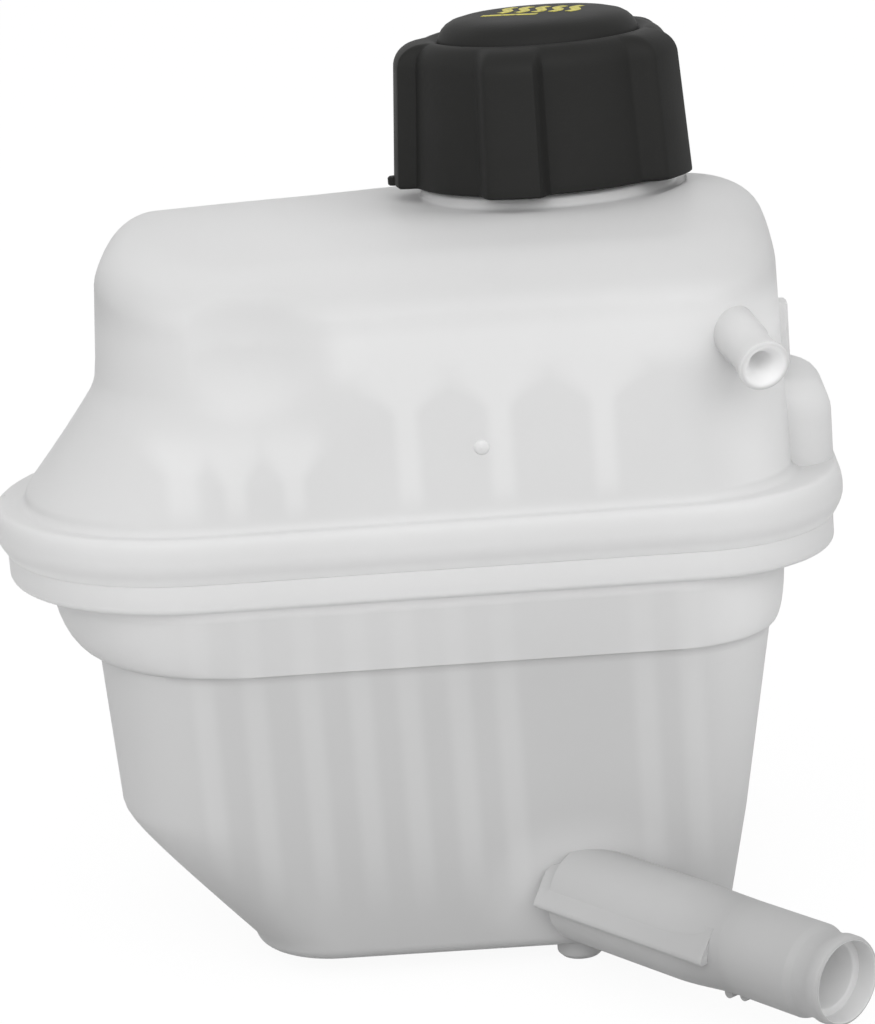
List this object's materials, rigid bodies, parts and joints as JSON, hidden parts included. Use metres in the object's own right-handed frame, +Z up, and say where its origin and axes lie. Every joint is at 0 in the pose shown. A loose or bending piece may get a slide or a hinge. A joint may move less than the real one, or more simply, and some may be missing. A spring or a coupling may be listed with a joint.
{
  "type": "coolant expansion tank",
  "caption": "Translucent white plastic coolant expansion tank with a black screw pressure cap, a hose outlet and a small return nipple.",
  "frame": {"origin": "centre of the locating peg's root, in the plane of the tank's underside", "axes": "+Z up along the filler neck, -Y towards the front with the baffles and the hoses, +X to the viewer's right"},
  "size_m": [0.1888, 0.2109, 0.2023],
  "materials": {
    "milky_plastic": "satin",
    "black_plastic": "matte",
    "grey_plastic": "satin",
    "black_rubber": "matte",
    "spring_steel": "satin"
  },
  "bodies": {
    "tank": {"top_shell": "milky_plastic", "bottom_shell": "milky_plastic"},
    "cartridge": {"valve_housing": "grey_plastic", "neck_gasket": "black_rubber", "neck_o_ring": "black_rubber", "housing_lid": "grey_plastic", "pressure_spring": "spring_steel"},
    "cap": {"cap_shell": "black_plastic"},
    "relief": {"pressure_valve": "grey_plastic", "pressure_seal": "black_rubber", "vacuum_spring": "spring_steel"},
    "poppet": {"vacuum_valve": "grey_plastic"}
  },
  "joints": [
    {"name": "cap_lift", "type": "slide", "parent": "tank", "child": "cartridge", "axis": [0, 0, 1], "range_m": [0, 0.009]},
    {"name": "cap_turn", "type": "hinge", "parent": "cartridge", "child": "cap", "pos_m": [0.0043, 0.053, 0.1844], "axis": [0, 0, 1], "range_deg": [0, 810]},
    {"name": "pressure_relief", "type": "slide", "parent": "cartridge", "child": "relief", "axis": [0, 0, 1], "range_m": [0, 0.002], "stiffness_N_per_m": 3000, "springref_m": -0.012, "deforming": ["pressure_spring"]},
    {"name": "vacuum_relief", "type": "slide", "parent": "relief", "child": "poppet", "axis": [0, 0, -1], "range_m": [0, 0.001], "stiffness_N_per_m": 250, "springref_m": -0.002, "deforming": ["vacuum_spring"]}
  ],
  "couplings": [
    {"joint": "cap_lift", "follows": "cap_turn", "m_per_rad": 0.000636}
  ]
}
